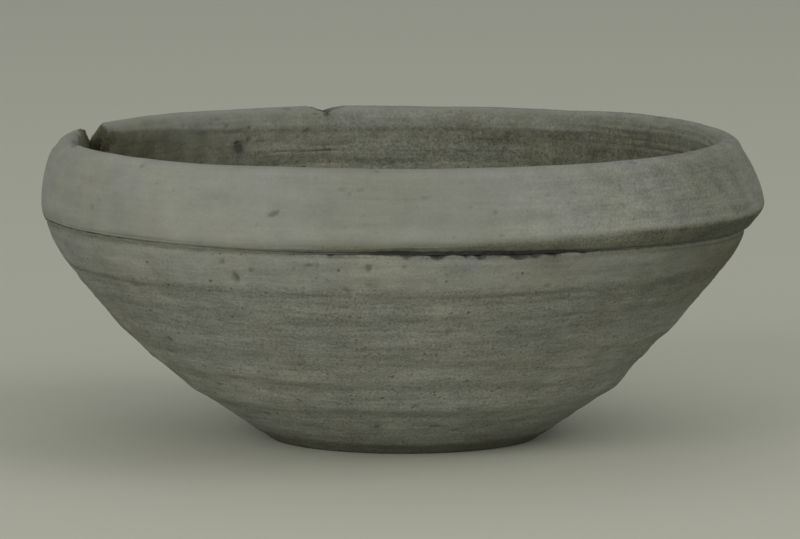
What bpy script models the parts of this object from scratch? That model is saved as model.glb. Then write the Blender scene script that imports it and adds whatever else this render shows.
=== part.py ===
# Coarse wheel-made bowl with a heavy inturned collar lapped over the edge of its wall.
# It stands on its flat foot with +Z up, and the origin is the middle of the foot's underside.
# Lengths are in metres and angles in degrees. Turned profiles are lists of (radius, height).

import math

import bmesh
import bpy
from mathutils import Vector

MM = 0.001

# Foot and wall
FOOT_RADIUS = 44.4 * MM
HEEL_ROUNDING = 1.0 * MM
FLOOR_THICKNESS = 9.0 * MM
FLOOR_FLAT_RADIUS = 22.0 * MM
FLOOR_SWEEP = 30.0 * MM
WALL_THICKNESS = 8.0 * MM
WALL_BELLY = 4.1 * MM
GROOVE_INSET = 6.5 * MM
NECK_HEIGHT = 12.9 * MM

# Throwing ridges, outside and inside, and the swell where the wall turns in to the foot
RIDGE_START = 3.9 * MM
RIDGE_PITCH = 15.2 * MM
RIDGE_COUNT = 4
RIDGE_HEIGHT = 0.4 * MM
INNER_RIDGE_PITCH = 21.0 * MM
INNER_RIDGE_HEIGHT = 0.4 * MM
SWELL = 1.0 * MM
SWELL_HEIGHT = 17.5 * MM
SWELL_SPREAD = 6.5 * MM

# Thinned edge of the wall, which the collar laps over
SEAM_RADIUS = 116.9 * MM
SEAM_HEIGHT = 73.2 * MM
SEAM_ROUNDING = 0.8 * MM
LEDGE_WIDTH = 5.6 * MM
EDGE_HEIGHT = 12.2 * MM
EDGE_THICKNESS = 4.2 * MM
EDGE_LEAN = 10.0
COVE_REACH = 3.6 * MM

# Slip that beds the collar on the wall
CLEARANCE = 0.3 * MM
SLIP_THICKNESS = 0.8 * MM
SLIP_RECESS = 1.1 * MM
SLIP_END_ANGLE = 136.0

# Collar, whose crest, flange and height are measured from the seam
COLLAR_HEIGHT = 26.8 * MM
CREST_INSET = 7.8 * MM
LIP_ROUNDING = 5.0 * MM
FLANGE_OVERHANG = 3.0 * MM
FLANGE_RISE = 5.2 * MM
FLANGE_ROUNDING = 1.8 * MM
FACE_CROWN = 0.9 * MM
FLAP_PROUD = 0.9 * MM
FLAP_ROUNDING = 1.4 * MM

# Where the hand left the round: sections drift along X as they rise, the flange
# overhangs more on the +X side, and the seam slides down the wall there
FOOT_SHIFT = 0.4 * MM
WALL_SHIFT = -1.7 * MM
SHIFT_START = 14.0 * MM
SHIFT_RISE = 18.0 * MM
FLANGE_SWING = 1.7 * MM
SWING_RISE = 2.0 * MM
SWING_SPREAD = 10.5 * MM
SKIN_DEPTH = 3.0 * MM
SEAM_DROOP = 3.1 * MM
DROOP_SPREAD = 4.6 * MM
DROOP_FOCUS = 5
OVALITY = 0.35 * MM
OVAL_ANGLE = 45.0

# Damage to the rim: a broken notch with a spalled inner corner, and a shallow chip
NOTCH_ANGLE = 157.6
NOTCH_WIDTH = 15.0 * MM
NOTCH_ROOT_WIDTH = 1.6 * MM
NOTCH_DEPTH = 7.4 * MM
SPALL_WIDTH = 13.0 * MM
SPALL_DEPTH = 8.6 * MM
CHIP_ANGLE = 102.0
CHIP_WIDTH = 11.4 * MM
CHIP_ACROSS = 9.0 * MM
CHIP_DEPTH = 1.9 * MM
CHIP_HEIGHT = 7.0 * MM
CUT_OVERRUN = 3.0 * MM

# Places in the profile that follow from the seam, as (radius, height)
SEAM = (SEAM_RADIUS, SEAM_HEIGHT)
GROOVE = (SEAM_RADIUS - GROOVE_INSET, SEAM_HEIGHT - NECK_HEIGHT)
FLANGE = (SEAM_RADIUS + FLANGE_OVERHANG, SEAM_HEIGHT + FLANGE_RISE)
CREST = (SEAM_RADIUS - CREST_INSET, SEAM_HEIGHT + COLLAR_HEIGHT)

# Fineness of the model
SEGMENTS = 60
RIDGE_STEPS = 5
ARC_STEPS = 4
LIP_STEPS = 8

# Shades of the fired clay and of the dried slip
WALL_COLOUR = (0.205, 0.208, 0.172)
COLLAR_COLOUR = (0.232, 0.236, 0.202)
SLIP_COLOUR = (0.115, 0.114, 0.094)


def between(a, b, t):
    return (a[0] + (b[0] - a[0]) * t, a[1] + (b[1] - a[1]) * t)


def toward(a, b, distance):
    """The point that lies this far from a on the way to b."""
    return between(a, b, distance / math.dist(a, b))


def polar(centre, radius, angle):
    a = math.radians(angle)
    return (centre[0] + radius * math.cos(a), centre[1] + radius * math.sin(a))


def bend(a, corner, b, steps):
    """A smooth curve from a to b that leaves and arrives along the lines through corner."""
    ts = [i / steps for i in range(steps + 1)]
    return [between(between(a, corner, t), between(corner, b, t), t) for t in ts]


def softened(a, corner, b, distance, steps=2):
    """The corner between a and b, rounded over this distance each way."""
    return bend(toward(corner, a, distance), corner, toward(corner, b, distance), steps)


def arc(a, b, belly, steps):
    """Points and outward normals of an arc from a up to b that bellies outward."""
    chord = math.dist(a, b)
    radius = chord**2 / (8 * belly) + belly / 2
    half = math.asin(chord / 2 / radius)
    out = ((b[1] - a[1]) / chord, (a[0] - b[0]) / chord)
    middle = between(a, b, 0.5)
    centre = (middle[0] + out[0] * (belly - radius), middle[1] + out[1] * (belly - radius))
    facing = math.atan2(out[1], out[0])
    found = []
    for i in range(steps + 1):
        angle = facing + half * (2 * i / steps - 1)
        normal = (math.cos(angle), math.sin(angle))
        point = (centre[0] + normal[0] * radius, centre[1] + normal[1] * radius)
        found.append((point, normal))
    return found


def round_arc(centre, radius, start, end, steps):
    return [polar(centre, radius, start + (end - start) * i / steps) for i in range(steps + 1)]


def touching_angle(centre, radius, point, side):
    """The angle at which a line from the point just touches the circle, on one side of it."""
    away = math.atan2(point[1] - centre[1], point[0] - centre[0])
    spread = math.acos(radius / math.dist(centre, point))
    return math.degrees(away + side * spread) % 360


def ridge(along, pitch, height):
    return height * math.sin(math.pi * along / pitch) ** 2


def shifted(point, normal, distance):
    return (point[0] + normal[0] * distance, point[1] + normal[1] * distance)


# Directions along and across the leaning edge of the wall
EDGE_UP = (-math.sin(math.radians(EDGE_LEAN)), math.cos(math.radians(EDGE_LEAN)))
EDGE_OUT = (math.cos(math.radians(EDGE_LEAN)), math.sin(math.radians(EDGE_LEAN)))
EDGE_ROOT = (SEAM[0] - LEDGE_WIDTH, SEAM[1])
EDGE_TIP = shifted(
    shifted(EDGE_ROOT, EDGE_UP, EDGE_HEIGHT - EDGE_THICKNESS / 2),
    EDGE_OUT,
    -EDGE_THICKNESS / 2,
)
BED = 2 * CLEARANCE + SLIP_THICKNESS


def lap(offset, ledge_radius, end_angle):
    """The lapped joint's face: in along the ledge, up the edge's outside and over its tip."""
    climb = offset * (1 - EDGE_OUT[1]) / EDGE_OUT[0]
    corner = shifted(shifted(EDGE_ROOT, EDGE_UP, climb), EDGE_OUT, offset)
    tip = round_arc(EDGE_TIP, EDGE_THICKNESS / 2 + offset, EDGE_LEAN, end_angle, ARC_STEPS)
    return [(ledge_radius, SEAM[1] + offset), corner, between(corner, tip[0], 0.5)] + tip


def outer_wall():
    """From the heel up to the groove, with finger-wide ridges, then the neck to the seam."""
    foot = (FOOT_RADIUS, 0.0)
    length = math.dist(foot, GROOVE)
    steps = max(1, round(length / RIDGE_PITCH * RIDGE_STEPS))
    wall = []
    for i, (point, normal) in enumerate(arc(foot, GROOVE, WALL_BELLY, steps)):
        out = SWELL * bell(point[1] - SWELL_HEIGHT, SWELL_SPREAD)
        down = length * (1 - i / steps) - RIDGE_START
        if 0 < down < RIDGE_COUNT * RIDGE_PITCH:
            out += ridge(down, RIDGE_PITCH, RIDGE_HEIGHT)
        wall.append(shifted(point, normal, out))
    heel = softened((0.0, 0.0), foot, wall[2], HEEL_ROUNDING)
    neck = arc(GROOVE, SEAM, ridge(RIDGE_PITCH / 2, RIDGE_PITCH, RIDGE_HEIGHT), ARC_STEPS)
    neck = [point for point, _ in neck[1:-1]]
    return heel + wall[2:] + neck + softened(neck[-1], SEAM, EDGE_ROOT, SEAM_ROUNDING)


def inner_wall():
    """From inside the tip down through the cove and the wall's curve to the floor."""
    foot = (FOOT_RADIUS, 0.0)
    length = math.dist(foot, GROOVE)
    steps = max(1, round(length / INNER_RIDGE_PITCH * ARC_STEPS))
    wall = []
    for i, (point, normal) in enumerate(arc(foot, GROOVE, WALL_BELLY, steps)):
        depth = WALL_THICKNESS + ridge(length * i / steps, INNER_RIDGE_PITCH, INNER_RIDGE_HEIGHT)
        wall.append(shifted(point, normal, -depth))
    wall.reverse()
    tip = shifted(EDGE_TIP, EDGE_OUT, -EDGE_THICKNESS / 2)
    middle = between(tip, wall[0], 0.5)
    cove = bend(tip, (middle[0] + COVE_REACH, middle[1]), wall[0], ARC_STEPS)
    flat = (FLOOR_FLAT_RADIUS, FLOOR_THICKNESS)
    kept = [point for point in wall[1:] if math.dist(point, flat) > FLOOR_SWEEP]
    slope = (kept[-2][0] - kept[-1][0]) / (kept[-2][1] - kept[-1][1])
    corner = (kept[-1][0] - slope * (kept[-1][1] - FLOOR_THICKNESS), FLOOR_THICKNESS)
    return cove + kept[:-1] + bend(kept[-1], corner, flat, ARC_STEPS)


def bowl_profile():
    tip_end = 180.0 + EDGE_LEAN
    joint = lap(0.0, SEAM[0], tip_end)[1:-1]
    return [(0.0, 0.0)] + outer_wall() + joint + inner_wall() + [(0.0, FLOOR_THICKNESS)]


def slip_profile():
    """A thin layer between wall and collar, set back a little where the seam stands open."""
    outer_end = SEAM[0] - SLIP_RECESS
    below = lap(CLEARANCE, outer_end, SLIP_END_ANGLE)
    above = lap(CLEARANCE + SLIP_THICKNESS, outer_end, SLIP_END_ANGLE)
    return below + above[::-1]


def collar_profile():
    """Rebate over the wall's edge, inner face, rounded lip, crowned outer face and flap."""
    flap = (SEAM[0] + FLAP_PROUD, SEAM[1] + BED)
    rebate = lap(BED, flap[0] - FLAP_ROUNDING, SLIP_END_ANGLE)
    centre = (CREST[0], CREST[1] - LIP_ROUNDING)
    inside = touching_angle(centre, LIP_ROUNDING, rebate[-1], -1)
    outside = touching_angle(centre, LIP_ROUNDING, FLANGE, 1)
    lip = round_arc(centre, LIP_ROUNDING, inside, outside, LIP_STEPS)
    face = [point for point, _ in arc(FLANGE, lip[-1], FACE_CROWN, ARC_STEPS)][::-1]
    edge = softened(face[-2], FLANGE, flap, FLANGE_ROUNDING)
    skirt = softened(FLANGE, flap, rebate[0], FLAP_ROUNDING)
    return rebate[1:] + lip + face[1:-1] + edge + skirt


def bell(distance, spread):
    return math.exp(-((distance / spread) ** 2))


def eased(t):
    t = min(1.0, max(0.0, t))
    return t * t * (3 - 2 * t)


def hand_shaped(point):
    """Where a point of the true turned form lies on the bowl as the hand left it."""
    x, y, z = point
    radius = math.hypot(x, y)
    if radius == 0:
        return Vector((x, y, z))
    angle = math.atan2(y, x)
    oval = OVALITY * math.cos(2 * (angle - math.radians(OVAL_ANGLE))) * radius / FLANGE[0]
    shift = FOOT_SHIFT + (WALL_SHIFT - FOOT_SHIFT) * eased((z - SHIFT_START) / SHIFT_RISE)
    low_side = ((1 + math.cos(angle)) / 2) ** DROOP_FOCUS
    droop = SEAM_DROOP * low_side * bell(z - SEAM[1], DROOP_SPREAD) * radius / SEAM[0]
    lean = GROOVE_INSET / NECK_HEIGHT
    scale = (radius + oval - droop * lean) / radius
    return Vector((x * scale + shift * eased(radius / FOOT_RADIUS), y * scale, z - droop))


def swung(point):
    """The collar's outer skin, drawn toward +X from where the wall's axis carries it."""
    x, y, z = point
    radius = math.hypot(x, y)
    root = EDGE_ROOT[0] + BED
    skin = eased((radius - root) / SKIN_DEPTH)
    reach = FLANGE_SWING * x / radius * skin * bell(z - FLANGE[1] - SWING_RISE, SWING_SPREAD)
    return Vector((x * (1 + reach / radius), y * (1 + reach / radius), z))


def turned(name, profile, closed, reshape=()):
    """Spins a profile round the Z axis and passes each point through the reshaping steps."""
    bm = bmesh.new()
    corners = [bm.verts.new((r, 0.0, z)) for r, z in profile]
    pairs = list(zip(corners, corners[1:]))
    if closed:
        pairs.append((corners[-1], corners[0]))
    edges = [bm.edges.new(pair) for pair in pairs]
    bmesh.ops.spin(
        bm,
        geom=corners + edges,
        axis=(0.0, 0.0, 1.0),
        cent=(0.0, 0.0, 0.0),
        steps=SEGMENTS,
        angle=math.tau,
        use_merge=True,
    )
    bmesh.ops.remove_doubles(bm, verts=bm.verts, dist=CLEARANCE / 100)
    for vert in bm.verts:
        for step in (*reshape, hand_shaped):
            vert.co = step(vert.co)
    bmesh.ops.recalc_face_normals(bm, faces=bm.faces)
    return finished(name, bm)


def finished(name, bm):
    mesh = bpy.data.meshes.new(name)
    bm.to_mesh(mesh)
    bm.free()
    mesh.shade_smooth()
    mesh.set_sharp_from_angle(angle=math.radians(40))
    obj = bpy.data.objects.new(name, mesh)
    bpy.context.scene.collection.objects.link(obj)
    return obj


def rim_place(angle):
    """The crest's place at this angle round the rim, with the ways right along it and outward."""
    a = math.radians(angle)
    crest = hand_shaped((CREST[0] * math.cos(a), CREST[0] * math.sin(a), CREST[1]))
    along = Vector((math.sin(a), -math.cos(a), 0.0))
    outward = Vector((math.cos(a), math.sin(a), 0.0))
    return crest, along, outward


def notch_cutter():
    """A break through the lip: upright on its right, aslant on its left, where the inside
    of the lip has flaked off further along."""
    crest, along, outward = rim_place(NOTCH_ANGLE)
    reach = LIP_ROUNDING + CUT_OVERRUN
    up = CUT_OVERRUN
    upright = NOTCH_WIDTH / 2
    root = upright - NOTCH_ROOT_WIDTH
    aslant = root - (upright + root) * (NOTCH_DEPTH + up) / NOTCH_DEPTH
    corners = [
        (aslant, reach, up),
        (upright, reach, up),
        (root, reach, -NOTCH_DEPTH),
        (upright, reach, -NOTCH_DEPTH),
        (aslant - SPALL_WIDTH, -reach, up),
        (upright, -reach, up),
        (root - SPALL_WIDTH, -reach, -SPALL_DEPTH),
        (upright, -reach, -SPALL_DEPTH),
    ]
    bm = bmesh.new()
    for right, out, rise in corners:
        bm.verts.new(crest + along * right + outward * out + Vector((0.0, 0.0, rise)))
    bmesh.ops.convex_hull(bm, input=bm.verts)
    return cutter("notch_cutter", bm)


def chip_cutter():
    """A shallow scoop out of the crest, as a flattened ball sunk by the chip's depth."""
    crest, along, outward = rim_place(CHIP_ANGLE)
    bm = bmesh.new()
    bmesh.ops.create_icosphere(bm, subdivisions=2, radius=1.0)
    # At the crest's level the ball is as wide as the chip
    sink = CHIP_DEPTH / CHIP_HEIGHT
    girth = 1 / math.sqrt(1 - (1 - sink) ** 2)
    for vert in bm.verts:
        right, out, rise = vert.co
        vert.co = crest + along * (right * CHIP_WIDTH / 2 * girth)
        vert.co += outward * (out * CHIP_ACROSS / 2 * girth)
        vert.co.z += rise * CHIP_HEIGHT + CHIP_HEIGHT - CHIP_DEPTH
    return cutter("chip_cutter", bm)


def cutter(name, bm):
    bmesh.ops.recalc_face_normals(bm, faces=bm.faces)
    obj = finished(name, bm)
    obj.hide_render = True
    obj.display_type = "WIRE"
    return obj


def cut(obj, tool):
    boolean = obj.modifiers.new(tool.name, "BOOLEAN")
    boolean.operation = "DIFFERENCE"
    boolean.object = tool


def clay(name, colour, roughness):
    material = bpy.data.materials.new(name)
    material.use_nodes = True
    shader = material.node_tree.nodes["Principled BSDF"]
    shader.inputs["Base Color"].default_value = (*colour, 1.0)
    shader.inputs["Roughness"].default_value = roughness
    shader.inputs["Metallic"].default_value = 0.0
    return material


def main():
    for obj in list(bpy.data.objects):
        bpy.data.objects.remove(obj)
    bowl = turned("thrown_bowl", bowl_profile(), closed=False)
    slip = turned("luting_slip", slip_profile(), closed=True)
    collar = turned("rim_collar", collar_profile(), closed=True, reshape=(swung,))
    bowl.data.materials.append(clay("sandy_clay", WALL_COLOUR, 0.95))
    slip.data.materials.append(clay("dried_slip", SLIP_COLOUR, 0.97))
    collar.data.materials.append(clay("wiped_clay", COLLAR_COLOUR, 0.88))
    tools = [notch_cutter(), chip_cutter()]
    for tool in tools:
        cut(collar, tool)
    whole = bpy.data.objects.new("pottery_bowl", None)
    bpy.context.scene.collection.objects.link(whole)
    for obj in [bowl, slip, collar, *tools]:
        obj.parent = whole


main()
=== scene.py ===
# Coarse wheel-made bowl with a heavy inturned collar lapped over the edge of its wall.
# Lengths in the dictionaries are in millimetres, with heights from the foot up. Angles are in
# degrees round the bowl: 0 is the +X side and -90 the side that faces the camera.
import itertools
import math

import bpy
import numpy as np
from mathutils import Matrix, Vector


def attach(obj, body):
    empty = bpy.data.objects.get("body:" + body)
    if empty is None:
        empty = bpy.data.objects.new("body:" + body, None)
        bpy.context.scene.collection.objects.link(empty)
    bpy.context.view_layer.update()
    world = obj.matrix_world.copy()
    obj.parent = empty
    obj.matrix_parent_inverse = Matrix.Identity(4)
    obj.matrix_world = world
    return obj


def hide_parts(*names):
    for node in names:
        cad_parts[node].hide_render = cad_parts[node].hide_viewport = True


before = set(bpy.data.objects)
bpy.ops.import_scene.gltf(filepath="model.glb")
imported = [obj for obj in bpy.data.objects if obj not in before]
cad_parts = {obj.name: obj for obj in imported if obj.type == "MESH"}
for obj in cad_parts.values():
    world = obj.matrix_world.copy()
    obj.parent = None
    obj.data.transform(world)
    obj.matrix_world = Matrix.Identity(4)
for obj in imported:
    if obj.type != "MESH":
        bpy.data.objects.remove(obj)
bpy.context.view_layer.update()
mm = 0.001

# the turned form, in the same measures as the frame's solids
turnedForm = {
    "foot": 44.4, "heel": 1.4, "floor": 9.0, "floorFlat": 22.0, "floorSweep": 30.0,
    "wall": 8.0, "belly": 4.1, "ridgeStart": 3.9, "ridgePitch": 15.2, "ridgeCount": 4,
    "ridge": 0.45, "innerPitch": 21.0, "innerRidge": 0.4,
    "swell": 1.0, "swellHeight": 17.5, "swellSpread": 6.5,
    "seam": (116.9, 73.2), "groove": (110.4, 60.3), "flange": (119.9, 78.4), "crest": (109.1, 100.0),
    "ledge": 5.6, "edge": 12.2, "edgeThick": 4.2, "edgeLean": 10.0, "cove": 3.6,
    "bed": 1.4, "lip": 5.0, "crown": 0.9, "flapProud": (0.9, 0.0),
}
# where the hand left the round
handForm = {
    "footShift": 0.4, "wallShift": -1.7, "shiftStart": 14.0, "shiftRise": 18.0,
    "swing": 1.7, "swingRise": 2.0, "swingSpread": 10.5, "skin": 3.0,
    "droop": 3.1, "droopSpread": 4.6, "droopFocus": 5, "lean": 0.504, "oval": 0.35, "ovalAngle": 45.0,
}
# how far the seam stands open, by angle, from 0, closed, to 1, and how it wavers in height
seamForm = {
    "middle": 73.95, "closed": 0.08, "open": 1.05,
    "openness": ((-180, 0), (-150, 0.05), (-128, 0.03), (-112, 0.1), (-101, 0.3), (-97, 0.4), (-94, 0.6),
        (-91, 1), (-88.5, 1.05), (-85.5, 0.65), (-82, 0.9), (-78.5, 0.7), (-75, 0.95), (-71, 0.9),
        (-68.5, 0.85), (-65, 0.8), (-61, 0.7), (-57, 0.3), (-50, 0.1), (-30, 0.15), (0, 0.1), (60, 0.1),
        (110, 0.05), (180, 0)),
    "sway": ((-180, 0), (-160, 0.25), (-150, 0.25), (-136, 0.1), (-123, 0), (-112, -0.3), (-103, -0.08),
        (-92, 0.25), (-75, 0.1), (-55, -0.1), (-20, 0), (60, 0.2), (120, -0.2), (180, -0.2)),
}

# painted shade on the inside under the lip, by angle
insidePaintedShade = (
    (-180, 0.3), (-174, 0.05), (0, 0.15), (35, 0.24), (50, 0.3), (58, 0.33), (70, 0.23), (84, 0.1), (98, 0.1),
    (108, 0.09), (118, -0.02), (130, 0.18), (139, 0.32), (148, 0.47), (156, 0.52), (163, 0.42), (180, 0.3),
)


def bell(distance, spread):
    return np.exp(-((distance / spread) ** 2))


def eased(t):
    t = np.clip(t, 0.0, 1.0)
    return t * t * (3 - 2 * t)


def between(x, start, rise, end, fall):
    # eases up from 0 at the start and down to 0 again at the end
    return eased((x - start) / rise) * eased((end - x) / fall)


def apart(around, angle):
    # degrees from an angle, from -180 to 180
    return (around - angle + 180) % 360 - 180


def byAngle(angle, table):
    # reads a table of (angle, value), softened between its entries
    places, values = zip(*table)
    near = [np.interp(angle + turn, places, values) for turn in (-2.0, 0.0, 2.0)]
    return (near[0] + 2 * near[1] + near[2]) / 4


def seamAt(around):
    # how open the seam is, the gap that leaves, and how high it runs
    openness = byAngle(around, seamForm["openness"])
    return openness, seamForm["closed"] + seamForm["open"] * openness, byAngle(around, seamForm["sway"])


def hashed(cells, seed):
    # one steady random number from 0 to 1 for each whole-number cell
    n = (cells[..., 0] * 73856093) ^ (cells[..., 1] * 19349663) ^ (cells[..., 2] * 83492791)
    n = (n ^ (seed * 2654435761)) & 0xFFFFFFFF
    n = ((n ^ (n >> 15)) * 2246822519) & 0xFFFFFFFF
    n = ((n ^ (n >> 13)) * 668265263) & 0xFFFFFFFF
    return (n ^ (n >> 16)) / 0xFFFFFFFF


def waver(points, seed):
    # smooth noise from -1 to 1, about one lump to each unit of length
    low = np.floor(points).astype(np.int64)
    t = points - low
    t = t * t * t * (t * (t * 6 - 15) + 10)
    total = 0.0
    for corner in itertools.product((0, 1), repeat=3):
        share = np.where(np.array(corner) == 1, t, 1 - t)
        total = total + hashed(low + np.array(corner), seed) * share[..., 0] * share[..., 1] * share[..., 2]
    return total * 2 - 1


# turns the noise's cells so that they line up with nothing on the bowl
askew = np.array(((0.36, 0.48, -0.8), (-0.8, 0.6, 0.0), (0.48, 0.64, 0.6)))


def lumps(points, size, seed, octaves=3):
    total, share = 0.0, 1.0
    for octave in range(octaves):
        total = total + waver(points @ askew / size, seed + octave) * share
        size, share = size / 2.1, share * 0.5
    return total


def streaks(points, length, width, seed, octaves=2):
    # marks that run round the bowl, each about this long and this wide
    total, share = 0.0, 1.0
    for octave in range(octaves):
        total = total + waver(points / (length, length, width), seed + octave) * share
        length, width, share = length / 1.7, width / 2.1, share * 0.55
    return total


def handShaped(points):
    h = handForm
    x, y, z = np.moveaxis(points, -1, 0)
    radius = np.maximum(np.hypot(x, y), 1e-6)
    angle = np.arctan2(y, x)
    oval = h["oval"] * np.cos(2 * (angle - math.radians(h["ovalAngle"]))) * radius / turnedForm["flange"][0]
    shift = h["footShift"] + (h["wallShift"] - h["footShift"]) * eased((z - h["shiftStart"]) / h["shiftRise"])
    lowSide = ((1 + np.cos(angle)) / 2) ** h["droopFocus"]
    seam = turnedForm["seam"]
    droop = h["droop"] * lowSide * bell(z - seam[1], h["droopSpread"]) * radius / seam[0]
    scale = (radius + oval - droop * h["lean"]) / radius
    drift = shift * eased(radius / turnedForm["foot"])
    return np.stack((x * scale + drift, y * scale, z - droop), axis=-1)


def swung(points):
    # the collar's outer skin hangs out further on the +X side
    h = handForm
    x, y, z = np.moveaxis(points, -1, 0)
    radius = np.hypot(x, y)
    root = turnedForm["seam"][0] - turnedForm["ledge"] + turnedForm["bed"]
    skin = eased((radius - root) / h["skin"])
    rise = z - turnedForm["flange"][1] - h["swingRise"]
    reach = h["swing"] * x / radius * skin * bell(rise, h["swingSpread"])
    return np.stack((x * (1 + reach / radius), y * (1 + reach / radius), z), axis=-1)


# lines of (radius, height)
def straight(a, b, steps=40):
    t = np.linspace(0, 1, steps + 1)[:, None]
    return np.array(a) * (1 - t) + np.array(b) * t


def bent(a, corner, b, steps=40):
    t = np.linspace(0, 1, steps + 1)[:, None]
    a, corner, b = np.array(a), np.array(corner), np.array(b)
    return (a * (1 - t) + corner * t) * (1 - t) + (corner * (1 - t) + b * t) * t


def toward(a, b, distance):
    a, b = np.array(a, float), np.array(b, float)
    return a + (b - a) * distance / np.hypot(*(b - a))


def rounded(a, corner, b, distance, steps=40):
    return bent(toward(corner, a, distance), corner, toward(corner, b, distance), steps)


def bellied(a, b, belly, steps=120):
    # an arc from a up to b that bellies outward, with its outward normals
    a, b = np.array(a, float), np.array(b, float)
    chord = np.hypot(*(b - a))
    radius = chord ** 2 / (8 * belly) + belly / 2
    half = math.asin(chord / 2 / radius)
    out = np.array(((b - a)[1], (a - b)[0])) / chord
    centre = (a + b) / 2 + out * (belly - radius)
    turn = math.atan2(out[1], out[0]) + half * np.linspace(-1, 1, steps + 1)
    normals = np.stack((np.cos(turn), np.sin(turn)), axis=1)
    return centre + normals * radius, normals


def roundArc(centre, radius, start, end, steps=40):
    turn = np.radians(np.linspace(start, end, steps + 1))
    return np.array(centre) + radius * np.stack((np.cos(turn), np.sin(turn)), axis=1)


def lengths(line):
    return np.concatenate(([0.0], np.cumsum(np.hypot(*np.diff(line, axis=0).T))))


def spaced(line, count, dense=None):
    # this many points along a line, without its last one, closer where dense says more
    run = lengths(line)
    weight = np.ones(len(line)) if dense is None else dense(line)
    steps = np.diff(run) * (weight[1:] + weight[:-1]) / 2
    share = np.concatenate(([0.0], np.cumsum(steps)))
    wanted = np.arange(count) / count * share[-1]
    at = np.interp(wanted, share, run)
    return np.stack([np.interp(at, run, line[:, k]) for k in (0, 1)], axis=1)


def joined(parts):
    # one closed line from (line, count of points, density) parts, and which part each point is in
    line = np.concatenate([spaced(*part) for part in parts])
    return line, np.repeat(np.arange(len(parts)), [part[1] for part in parts])


def columns(count, dense):
    # angles round the bowl, closer together where dense says more
    fine = np.linspace(-180, 180, 7201)
    weight = dense(fine)
    share = np.concatenate(([0.0], np.cumsum((weight[1:] + weight[:-1]) / 2)))
    return np.interp(np.arange(count) / count * share[-1], share, fine)


def facing(line):
    # unit normals to the right of a closed line of points
    ahead = np.roll(line, -1, axis=0) - np.roll(line, 1, axis=0)
    normals = np.stack((ahead[..., 1], -ahead[..., 0]), axis=-1)
    return normals / np.maximum(np.linalg.norm(normals, axis=-1, keepdims=True), 1e-9)


def spun(radius, height, around):
    turn = np.radians(around)
    return np.stack((radius * np.cos(turn), radius * np.sin(turn), height + 0 * turn), axis=-1)


def laidOut(line, around):
    # the line's radius and height in every column, and where that is
    radius, height = line[:, :1] + 0 * around, line[:, 1:] + 0 * around
    return radius, height, spun(radius, height, around)


def roughened(look, place, flow, seeds, masks):
    # how far lumps, throwing marks and grit stand out, each as strong as its mask
    out = 0.0
    for i, (size, deep) in enumerate(look["lumps"]):
        out = out + deep * lumps(place, size, seeds[0] + 5 * i, 2) * masks[0]
    for i, (long, wide, deep) in enumerate(look["striae"]):
        out = out + deep * streaks(flow, long, wide, seeds[1] + 5 * i) * masks[1]
    size, deep = look["grit"]
    return out + deep * lumps(place, size, seeds[2], 2) * masks[2]


def pressed(around, along, radius, marks, seed):
    # depth of dents and pits, and the painted shade in them: (angle, place, half length, half height, depth, tilt)
    depth = np.zeros((len(along), len(around)))
    dark = np.zeros_like(depth)
    crumble = np.random.default_rng(seed)
    for angle, place, wide, tall, deep, tilt in marks:
        u = apart(around, angle)[None] * math.radians(1) * radius[:, None]
        v = (along - place)[:, None] + 0 * u
        near = (np.abs(u) < 2 * wide + tall) & (np.abs(v) < 2 * wide + tall)
        if not near.any():
            continue
        u, v = u[near], v[near]
        lean = math.radians(tilt)
        a, b = u * math.cos(lean) + v * math.sin(lean), v * math.cos(lean) - u * math.sin(lean)
        ragged = 1 + 0.18 * crumble.uniform(-1, 1, len(a))
        inside = np.clip(1 - ((a / wide) ** 2 + (b / tall) ** 2) * ragged, 0, 1)
        depth[near] = np.maximum(depth[near], deep * inside ** 0.8)
        dark[near] = np.maximum(dark[near], np.clip(inside * 1.6, 0, 1) * min(1.0, deep / 0.6))
    return depth, dark


def placed(pits, line, run, rows):
    # named pits, with their heights turned into places along these rows of the line
    heights, runs = line[rows, 1], run[rows]
    way = 1 if heights[-1] > heights[0] else -1
    return [(angle, np.interp(level * way, heights * way, runs), *rest) for angle, level, *rest in pits]


def scattered(count, places, sizes, depths, seed, angles=(-180, 180)):
    # random pits, most of them small
    draw = np.random.default_rng(seed)
    found = []
    for _ in range(count):
        size = sizes[0] + (sizes[1] - sizes[0]) * draw.random() ** 2.5
        deep = depths[0] + (depths[1] - depths[0]) * draw.random() ** 1.5
        found.append((draw.uniform(*angles), draw.uniform(*places), size * draw.uniform(1, 1.9), size,
                      deep, draw.uniform(-25, 25)))
    return found


def clouded(around, height, clouds):
    return sum(deep * bell(apart(around, angle), wide) * bell(height - level, tall)
               for angle, level, wide, tall, deep in clouds)


def linked(name, data):
    made = bpy.data.objects.new(name, data)
    bpy.context.scene.collection.objects.link(made)
    return made


def makePiece(name, points, loops, marks):
    # a mesh in metres from points in millimetres, with its marks as attributes
    mesh = bpy.data.meshes.new(name)
    mesh.from_pydata((points * mm).tolist(), [], loops)
    mesh.shade_smooth()
    mesh.set_sharp_from_angle(angle=math.radians(50))
    for mark, values in marks.items():
        layer = mesh.attributes.new(mark, "FLOAT", "POINT")
        layer.data.foreach_set("value", np.ascontiguousarray(values, np.float32).ravel())
    return linked(name, mesh)


def ringLoops(rows, count, closed):
    # quads between rows of points round the bowl
    row, col = np.meshgrid(np.arange(rows if closed else rows - 1), np.arange(count), indexing="ij")
    up, on = (row + 1) % rows, (col + 1) % count
    quads = np.stack((row * count + col, row * count + on, up * count + on, up * count + col), axis=-1)
    return quads.reshape(-1, 4).tolist()


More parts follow.
